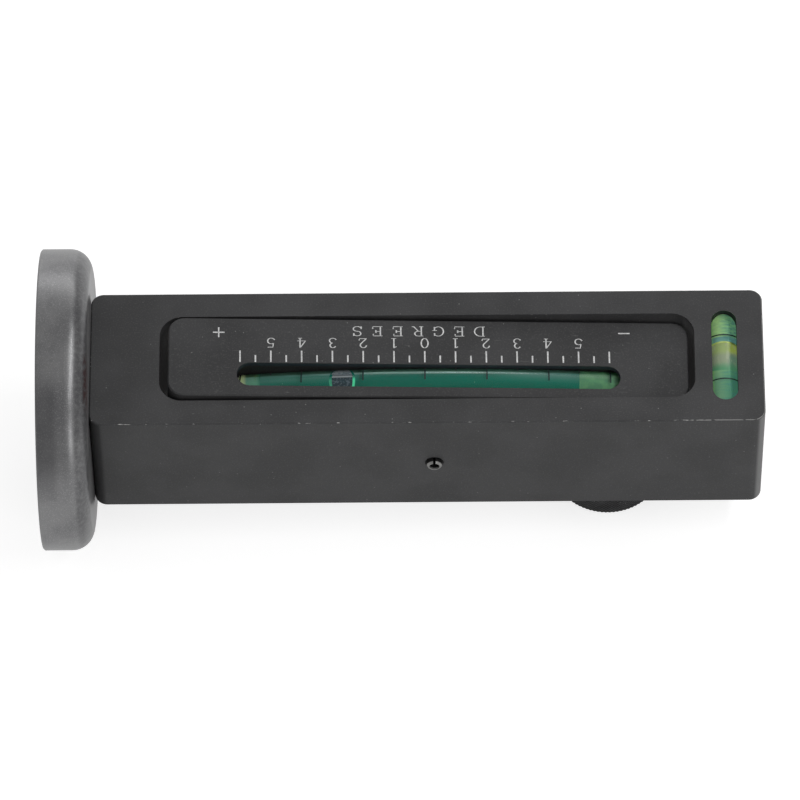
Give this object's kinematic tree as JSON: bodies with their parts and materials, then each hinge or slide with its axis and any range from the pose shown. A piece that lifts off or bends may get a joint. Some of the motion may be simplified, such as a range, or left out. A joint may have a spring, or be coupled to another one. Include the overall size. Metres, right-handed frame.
{
  "type": "camber gauge",
  "caption": "Square bar with a round pot magnet on one end, a tilting rocker with an arched spirit vial and degree scale, a cross level and a knurled zero screw.",
  "frame": {"origin": "centre of the magnet's holding face", "axes": "+X along the bar away from the magnet, +Z normal of the bar's face with the scale, -Y the side where the camber vial lies"},
  "size_m": [0.143, 0.06, 0.06],
  "materials": {
    "anodised_bar": "black anodised, satin",
    "anodised_rocker": "black anodised, satin",
    "pot_steel": "dull grey steel, mottled",
    "ferrite": "ground ferrite",
    "cast_resin": "cast resin",
    "sleeve_brass": "turned",
    "zinc_steel": "zinc plated",
    "white_fill": "white paint fill",
    "vial_clear": "clear, polished",
    "vial_plug": "light green plastic",
    "vial_fluid": "green spirit",
    "bubble_air": "air in green spirit",
    "vial_cement": "cast cement",
    "hard_steel": "hardened, polished",
    "spring_steel": "oiled spring steel",
    "knob_black": "black anodised, knurled",
    "retainer_black": "black plastic"
  },
  "bodies": {
    "bar": {"housing": "anodised_bar", "magnet_cup": "pot_steel", "ring_magnet": "ferrite", "magnet_resin_ring": "cast_resin", "magnet_centre_sleeve": "sleeve_brass", "magnet_screw": "zinc_steel", "magnet_lock_washer": "zinc_steel", "pivot_roll_pin": "spring_steel", "rocker_spring": "spring_steel", "level_vial_tube": "vial_clear", "level_vial_plug_near": "vial_plug", "level_vial_plug_far": "vial_plug", "level_vial_fluid": "vial_fluid", "level_vial_retainer": "retainer_black"},
    "rocker": {"rocker_block": "anodised_rocker", "scale_marks": "white_fill", "camber_vial_tube": "vial_clear", "camber_vial_plug_left": "vial_plug", "camber_vial_plug_right": "vial_plug", "camber_vial_fluid": "vial_fluid", "camber_vial_cement_left": "vial_cement", "camber_vial_cement_right": "vial_cement", "rocker_wear_pad": "hard_steel"},
    "thrust": {"thrust_ball": "hard_steel"},
    "adjuster": {"adjuster_knob": "knob_black", "adjuster_screw": "zinc_steel"},
    "camber_air": {"camber_bubble": "bubble_air"},
    "level_air": {"level_bubble": "bubble_air"}
  },
  "joints": [
    {"name": "knob_turn", "type": "hinge", "parent": "thrust", "child": "adjuster", "pos_m": [0.11266, 0, -0.0228], "axis": [0, 0, 1], "range_deg": [-432, 756]},
    {"name": "adjuster_travel", "type": "slide", "parent": "bar", "child": "thrust", "axis": [0, 0, 1], "range_m": [-0.0012, 0.0021]},
    {"name": "rocker_tilt", "type": "hinge", "parent": "bar", "child": "rocker", "pos_m": [0.07784, 0, 0], "axis": [0, -1, 0], "range_deg": [-1.98, 3.46], "deforming": ["rocker_spring"]},
    {"name": "camber_bubble_travel", "type": "hinge", "parent": "rocker", "child": "camber_air", "pos_m": [0.07612, -0.004, -0.33674], "axis": [0, 1, 0], "range_deg": [-2.1, 7.2], "stiffness_Nm_per_rad": 0.002},
    {"name": "level_bubble_travel", "type": "slide", "parent": "bar", "child": "level_air", "axis": [0, 1, 0], "range_m": [-0.0062, 0.0038], "stiffness_N_per_m": 0.05}
  ],
  "couplings": [
    {"joint": "adjuster_travel", "follows": "knob_turn", "m_per_rad": 0.00015915},
    {"joint": "rocker_tilt", "follows": "knob_turn", "ratio": 0.0045708}
  ]
}
